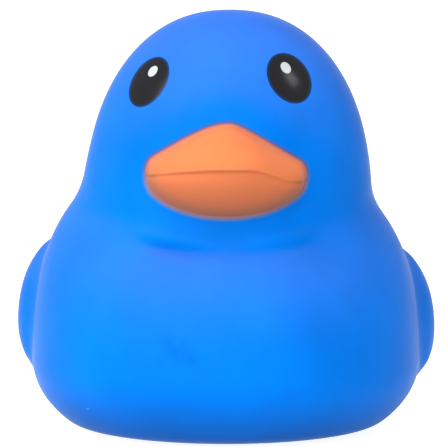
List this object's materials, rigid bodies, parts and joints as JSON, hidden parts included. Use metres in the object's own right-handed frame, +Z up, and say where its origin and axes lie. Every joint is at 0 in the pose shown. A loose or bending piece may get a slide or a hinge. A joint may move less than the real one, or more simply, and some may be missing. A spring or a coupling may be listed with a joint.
{
  "type": "rubber duck",
  "caption": "Hollow soft vinyl bath duck in one piece, with a painted bill and eyes, raised wings, an upturned tail and a vented flat base.",
  "frame": {"origin": "middle of the duck's outline, on the surface it stands on", "axes": "+Z up, +Y towards the tail, so the duck looks along -Y"},
  "size_m": [0.0852, 0.0914, 0.085],
  "materials": {
    "vinyl_blue": "satin"
  },
  "bodies": {
    "root": {"duck_body": "vinyl_blue"}
  },
  "joints": []
}
